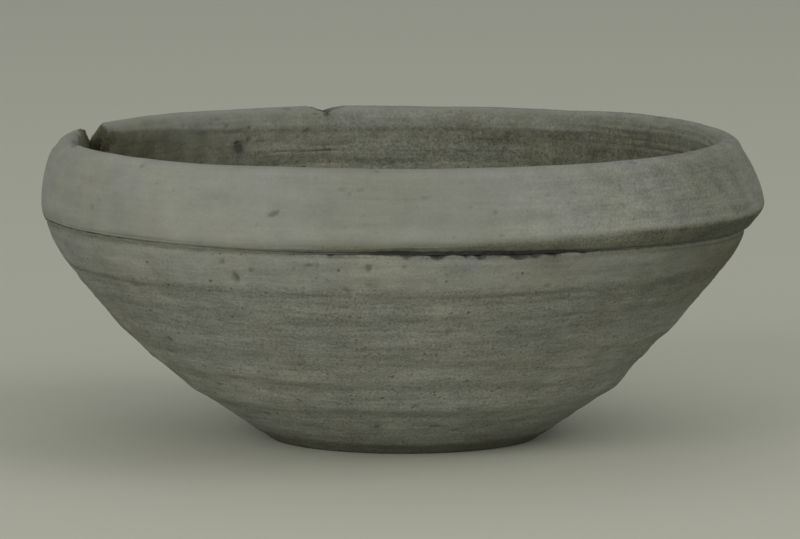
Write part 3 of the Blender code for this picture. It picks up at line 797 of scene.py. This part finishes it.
def makeSlip():
    look = slipLook
    around = columns(look["columns"], lambda a: 1 + 1.2 * bell(a + 78, 26) + 0.6 * bell(a - 106, 16))
    openness, gap, sway = seamAt(around)
    clearance, end = 0.25, form["seam"][0] - 0.5
    low, lowCorner, lowOver = lapLine(clearance, end, 168.0)
    high, highCorner, highOver = lapLine(form["bed"] - clearance, end, 136.0)
    # the smear's skin lies along the collar's inner face, the joint and the top of the wall
    top, joint, bottom = look["smear"]
    collar, part = collarLine(0)
    collarFace = straight(collar[part == 3][0], collar[part == 4][0])[::-1]
    wall = insideLine()[::-1]
    levels = np.linspace(bottom, top, 80)
    surface = np.where(levels > joint, np.interp(levels, *collarFace.T[::-1]), np.interp(levels, *wall.T[::-1]))
    surface = np.convolve(np.pad(surface, 12, mode="edge"), np.ones(25) / 25, "valid")
    proud = look["smearThick"] * (1 - np.linspace(-1, 1, 80) ** 2 * 1.5)
    skin = np.stack((surface - proud, levels), axis=1)
    back = np.array(((surface[0] + 0.9, bottom + 1.0), (surface[-1] + 0.9, top - 1.0)))
    line, part = joined([
        (np.concatenate((highOver[::-1], [highCorner])), 14),
        (straight(highCorner, high), 8),
        (straight(high, low), 5),
        (straight(low, lowCorner), 8),
        (np.concatenate(([lowCorner], lowOver)), 16),
        (np.array((lowOver[-1], back[0], skin[0])), 4),
        (skin, 30),
        (np.array((skin[-1], back[1], highOver[-1])), 4),
    ])
    onTop, onEnd, onBottom, onSkin = 1, 2, 3, 6
    radius, height, place = laidOut(line, around)
    # outer end: drawn back where the seam stands open
    recess = look["recess"][0] + (look["recess"][1] - look["recess"][0]) * np.clip(openness, 0, 1) ** 1.3
    crumb = look["crumb"] * lumps(place, 1.8, 140, 2)
    share = np.clip((line[:, 0] - lowCorner[0]) / (end - lowCorner[0]), 0, 1)[:, None]
    ends = np.isin(part, (onTop, onEnd, onBottom))[:, None]
    radius = radius - ends * share * (recess - 0.5 + crumb * (part == onEnd)[:, None] * 1.6)
    half = (height - form["seam"][1] - form["bed"] / 2) / (form["bed"] / 2 - clearance)
    thick = seamForm["middle"] + sway + half * (gap / 2 + 0.04)
    height = height + (thick - height) * ends * eased((line[:, :1] - lowCorner[0]) / 1.2)
    # where the seam is shut the slip was wiped to a sloping fillet between wall and flap
    flare, slope = look["fillet"]
    shut = ends * np.clip(1 - openness * 4, 0, 1) * share ** 6
    height = height + flare * half * shut
    radius = radius + (slope * half - 0.25) * shut
    # inner end: smeared nearly flush, but for a short stretch where it has fallen out
    missing = between(around, look["gone"][0] - 2, 3, look["gone"][1] + 2, 3)
    on = (part == onSkin)[:, None]
    thin = 0.22 * lumps(place * (1, 1, 0.6), 11.0, 141, 3)
    ragged = np.clip(0.6 + 0.9 * waver(place / (5, 5, 90), 143), 0.0, 1.0)
    groove = missing * ragged * bell(height - look["jointAt"] - 0.5 * waver(place / (8, 8, 60), 142), 0.35)
    angle, level, wide = look["pit"]
    pit = bell(np.hypot((around - angle) * math.radians(1) * radius, height - level), wide)
    radius = radius + (0.5 * groove + 0.35 * pit - thin) * on
    points = handShaped(spun(radius, height, around)).reshape(-1, 3)
    inside = (part > 4)[:, None]
    # painted shade where the seam stands open, in the groove where the smear fell out, in the pit and inside under
    # the lip
    marks = {"hollow": np.clip(openness, 0, 1) * ends + (groove * 0.4 + np.clip(pit * 1.5, 0, 1)) * on,
             "inside": inside + 0 * height, "open": np.clip(openness * 2, 0, 1) + 0 * height,
             "shade": inside * (byAngle(around, insidePaintedShade) - farPale(around) * eased((88.5 - height) / 3.5))}
    return makePiece("dried_bed", points, ringLoops(len(line), len(around), closed=True), marks)


bowl = makeBowl()
print("wall thrown:", len(bowl.data.polygons), "faces")
collar = makeCollar()
print("collar lapped on:", len(collar.data.polygons), "faces")
slip = makeSlip()
print("slip bedded:", len(slip.data.polygons), "faces")

for piece, node, slotName in ((bowl, "thrown_bowl", "sandy_clay"), (collar, "rim_collar", "wiped_clay"),
                              (slip, "luting_slip", "dried_slip")):
    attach(piece, "root")
    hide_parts(node)


class Wire:
    # a socket's value, so that a shader's sums read like sums
    def __init__(self, finish, socket):
        self.finish, self.socket = finish, socket

    def sum(self, operation, first, second):
        return self.finish.node("Math", {"operation": operation}, {0: first, 1: second})

    def __add__(self, other):
        return self.sum("ADD", self, other)

    def __sub__(self, other):
        return self.sum("SUBTRACT", self, other)

    def __rsub__(self, other):
        return self.sum("SUBTRACT", other, self)

    def __mul__(self, other):
        return self.sum("MULTIPLY", self, other)

    __radd__ = __add__


class Finish:
    # one material, built up from nodes: blend and over also take a colour as its three values
    def __init__(self, name):
        self.material = bpy.data.materials.new(name)
        self.material.use_nodes = True
        self.tree = self.material.node_tree
        self.shader = self.tree.nodes["Principled BSDF"]
        self.place = self.vector("SCALE", self.node("TexCoord", output="Object"), scale=1 / mm)
        self.flow = self.vector("MULTIPLY", self.place, (0.11, 0.11, 1.0))
        self.across = self.node("SeparateXYZ", {}, {0: self.place}, "X")
        self.shade, self.hollow, self.inside = (self.mark(name) for name in ("shade", "hollow", "inside"))

    def feed(self, node, key, value):
        if isinstance(value, Wire):
            self.tree.links.new(value.socket, node.inputs[key])
        else:
            node.inputs[key].default_value = value

    def node(self, kind, settings=None, inputs=None, output=0):
        made = self.tree.nodes.new("ShaderNode" + kind)
        for key, value in (settings or {}).items():
            setattr(made, key, value)
        for key, value in (inputs or {}).items():
            self.feed(made, key, value)
        return Wire(self, made.outputs[output])

    def vector(self, operation, first, second=(0, 0, 0), scale=1.0):
        return self.node("VectorMath", {"operation": operation}, {0: first, 1: second, 3: scale})

    def blend(self, share, first, second):
        first, second = (tinted(colour) if isinstance(colour, tuple) else colour for colour in (first, second))
        return self.node("Mix", {"data_type": "RGBA"}, {0: share, 6: first, 7: second}, 2)

    def noise(self, size, detail=3.0, place=None):
        # from -0.5 to 0.5
        inputs = {"Vector": place or self.place, "Scale": 1 / size, "Detail": detail, "Roughness": 0.55}
        return self.node("TexNoise", {}, inputs, "Fac") - 0.5

    def mark(self, name):
        return self.node("Attribute", {"attribute_name": name}, output="Fac")

    def ranged(self, value, low, high, to=(0.0, 1.0)):
        inputs = {"Value": value, "From Min": low, "From Max": high, "To Min": to[0], "To Max": to[1]}
        return self.node("MapRange", {"clamp": True}, inputs, "Result")

    def shaded(self, colour, tone):
        # darkened where the painted shade mark says so, paler where it is below zero, and yellower as it darkens
        lit = self.vector("SCALE", colour, scale=tone * (1 - self.shade))
        return self.blend(self.ranged(self.shade, 0.0, 0.5), lit, self.vector("MULTIPLY", lit, (1.0, 0.99, 0.84)))

    def insideTone(self):
        # the inside as the hand left it: long soft streaks, patches and drag lines full of grit
        patches, streak = self.noise(6.5, 4), self.noise(3.2, 4, self.flow)
        grain, grit = self.noise(0.8, 2), self.noise(1.7, 2)
        coarse = self.ranged(self.across, -70.0, -10.0, (0.35, 1.0))
        return (1 + self.noise(32, 3) * 0.3 + patches + streak * 0.9
                + (grain * (patches * 2.4 + 1.4) + grit * 0.8) * coarse)

    def toned(self, outside, clay, smear, paintedHighlight=0.0):
        # the clay outside and the smeared inside, each with its own tone and any painted highlight, faintly greyer
        # and browner in clouds
        tone = outside * (1 - self.inside) + self.insideTone() * self.inside + paintedHighlight
        colour = self.shaded(self.blend(self.inside, clay, smear), tone)
        cloud = self.noise(24, 3)
        cool = self.blend(self.ranged(cloud, 0.0, 0.22), colour, self.vector("MULTIPLY", colour, (0.985, 1.0, 1.055)))
        return self.blend(self.ranged(cloud, 0.0, -0.2), cool, self.vector("MULTIPLY", cool, (1.015, 1.0, 0.965)))

    def specks(self, size, share, reach):
        # round specks: the share of cells that has one, and how far it reaches in its cell
        cell = {"Vector": self.place, "Scale": 1 / size}
        near = self.node("TexVoronoi", {}, cell, "Distance")
        pick = {"Color": self.node("TexVoronoi", {}, cell, "Color")}
        chance, bulk = (self.node("SeparateColor", {}, pick, channel) for channel in ("Red", "Green"))
        return self.ranged(chance, share, share - 0.02) * self.ranged(near, reach, reach * 0.45) * (bulk * 0.6 + 0.4)

    def over(self, colour, *layers):
        for share, tint in layers:
            colour = self.blend(share, colour, tint)
        return colour

    def done(self, colour, roughness, height):
        relief = self.node("Bump", {}, {"Height": height, "Distance": mm, "Strength": 1.0}, "Normal")
        inputs = {"Base Color": colour, "Roughness": roughness, "Normal": relief, "Specular IOR Level": 0.25}
        for key, value in inputs.items():
            self.feed(self.shader, key, value)
        return self.material


def tinted(rgb, factor=1.0):
    return tuple(c * factor for c in rgb) + (1.0,)


sandyLook = {
    "clay": (0.208, 0.211, 0.175), "wiped": (0.233, 0.238, 0.198), "inside": (0.205, 0.208, 0.155),
    "dark": (0.045, 0.044, 0.034), "pale": (0.42, 0.425, 0.37),
}


def sandyClay():
    look, f = sandyLook, Finish("sandy_clay")
    wiped = f.mark("wiped")
    broad, patches, grain = f.noise(34, 3), f.noise(9, 4), f.noise(0.75, 2)
    streak, fine = f.noise(3.2, 4, f.flow), f.noise(1.1, 3, f.flow)
    rough = 1 - wiped * 0.55
    tone = 1 + broad * 0.34 + patches * 0.5 + streak * 0.6 + (fine * 0.7 + grain * 1.3) * rough
    colour = f.toned(tone, f.blend(wiped, look["clay"], look["wiped"]), look["inside"])
    darkSpecks, crumbs = f.specks(1.5, 0.3, 0.36) * rough, f.specks(3.4, 0.16, 0.2)
    paleSpecks = f.specks(1.9, 0.1, 0.26) * rough
    # the hollow mark lays painted shade in pits, grooves and along the seam
    colour = f.over(colour, (darkSpecks * 0.55, look["dark"]), (crumbs * 0.75, look["dark"]),
                    (paleSpecks * 0.55, look["pale"]), (f.hollow * 0.62, look["dark"]))
    height = (grain + fine) * 0.16 * rough + streak * 0.12 - darkSpecks * 0.12 - crumbs * 0.3 + paleSpecks * 0.1
    return f.done(colour, 0.88 + grain * 0.1, height)


wipedLook = {
    "clay": (0.231, 0.237, 0.197), "inside": (0.198, 0.201, 0.152), "core": (0.096, 0.095, 0.055),
    "dark": (0.06, 0.058, 0.047), "pale": (0.36, 0.365, 0.32),
}


def wipedClay():
    look, f = wipedLook, Finish("wiped_clay")
    broken = f.mark("broken")
    # grittier towards the right and in the shade under the flange
    gritty = (f.ranged(f.across, 20.0, 95.0) + f.ranged(f.shade, 0.1, 0.4, (0.0, 0.8))) * (1 - f.inside)
    broad, patches, grain = f.noise(30, 3), f.noise(7.5, 4), f.noise(0.8, 2)
    streak, fine = f.noise(4.5, 4, f.flow), f.noise(1.3, 3, f.flow)
    tone = (1 + broad * 0.26 + patches * (gritty * 0.35 + 0.24) + streak * 0.3
            + fine * (gritty * 0.5 + 0.16) + grain * (gritty * 0.9 + 0.26))
    # painted highlight on the lip's crest and the flange
    colour = f.toned(tone, look["clay"], look["inside"], f.mark("paintedHighlight") * 0.06)
    gritty = gritty + f.inside
    darkSpecks = f.specks(1.5, 0.24, 0.33) * (gritty * 0.9 + 0.08)
    crumbs = f.specks(4.2, 0.14, 0.17) * (gritty * 0.7 + 0.3)
    paleSpecks = f.specks(2.1, 0.08, 0.25) * gritty
    core = f.vector("SCALE", look["core"], scale=f.noise(1.4, 4) * 0.9 + 1.05)
    # the hollow mark lays painted shade in pits, along the seam and in the chip
    colour = f.over(colour, (darkSpecks * 0.5, look["dark"]), (crumbs * 0.6, look["dark"]),
                    (paleSpecks * 0.4, look["pale"]), (broken, core), (f.hollow * 0.55, look["dark"]))
    height = (grain * (gritty * 0.12 + 0.03) + fine * (gritty * 0.1 + 0.05) + streak * 0.08
              - darkSpecks * 0.1 - crumbs * 0.22 + broken * f.noise(1.2, 4))
    return f.done(colour, 0.84 + grain * 0.12, height)


# slip is the colour where the seam stands open, darker as painted shade in the crack; flush is where it is shut
slipColours = {
    "slip": (0.115, 0.114, 0.094), "flush": (0.172, 0.174, 0.143), "smear": (0.198, 0.201, 0.152),
    "dark": (0.02, 0.02, 0.016), "pale": (0.36, 0.365, 0.3),
}


def driedSlip():
    look, f = slipColours, Finish("dried_slip")
    crumbs, grain = f.noise(2.2, 4), f.noise(0.6, 3)
    tone = 1 + (crumbs + grain) * 0.4
    # darker where the seam stands open: painted shade in the crack
    colour = f.toned(tone, f.blend(f.mark("open"), look["flush"], look["slip"]), look["smear"])
    # the hollow mark lays painted shade in the open seam, the groove and the pit
    colour = f.over(colour, (f.specks(1.5, 0.26, 0.34) * f.inside * 0.5, look["dark"]),
                    (f.specks(1.9, 0.1, 0.26) * f.inside * 0.45, look["pale"]), (f.hollow * 0.75, look["dark"]))
    return f.done(colour, 0.93, crumbs * 0.5 + grain * 0.2)


for piece, material in ((bowl, sandyClay()), (collar, wipedClay()), (slip, driedSlip())):
    piece.data.materials.append(material)
print("clays mixed")

# Pale ground, soft light and the photograph's camera
studio = {
    "ground": (0.6, 0.61, 0.5), "groundSize": 30, "world": (0.345, 0.345, 0.345),
    # each lamp's direction by angle and elevation, its size in metres and its power
    "lamps": (("window", -125, 12, 2, 28), ("front", -75, 12, 2, 11), ("high", -25, 43, 2, 9),
        ("back", 90, 50, 2, 2.5)),
    "lampAway": 2.4, "aim": (-0.00081, 0, 0.0553), "tilt": 6.77, "away": 2.2, "focal": 6637, "width": 800,
}


def makeLamp(name, angle, elevation, size, power):
    turn, rise = math.radians(angle), math.radians(elevation)
    level = math.cos(rise)
    at = studio["lampAway"] * Vector((math.cos(turn) * level, math.sin(turn) * level, math.sin(rise)))
    light = bpy.data.lights.new(name, "AREA")
    light.shape, light.size, light.energy = "DISK", size, power
    lamp = linked(name, light)
    lamp.location = at
    lamp.rotation_euler = (Vector((0, 0, 0.05)) - at).to_track_quat("-Z", "Y").to_euler()


def makeStudio():
    half = studio["groundSize"] / 2
    mesh = bpy.data.meshes.new("ground")
    mesh.from_pydata([(-half, -half, 0), (half, -half, 0), (half, half, 0), (-half, half, 0)], [], [(0, 1, 2, 3)])
    ground = linked("ground", mesh)
    paper = bpy.data.materials.new("ground_paper")
    paper.use_nodes = True
    shader = paper.node_tree.nodes["Principled BSDF"]
    shader.inputs["Base Color"].default_value = tinted(studio["ground"])
    shader.inputs["Roughness"].default_value = 0.95
    ground.data.materials.append(paper)
    for lamp in studio["lamps"]:
        makeLamp(*lamp)
    world = bpy.data.worlds.new("studio")
    world.use_nodes = True
    world.node_tree.nodes["Background"].inputs["Color"].default_value = tinted(studio["world"])
    bpy.context.scene.world = world
    camera = linked("camera", bpy.data.cameras.new("camera"))
    camera.data.sensor_width = 36
    camera.data.lens = studio["focal"] * 36 / studio["width"]
    tilt = math.radians(studio["tilt"])
    aim = Vector(studio["aim"])
    camera.location = aim + Vector((0, -math.cos(tilt), math.sin(tilt))) * studio["away"]
    camera.rotation_euler = (aim - camera.location).to_track_quat("-Z", "Y").to_euler()
    bpy.context.scene.camera = camera
    bpy.context.scene.view_settings.view_transform = "Standard"


makeStudio()
print("studio lit")
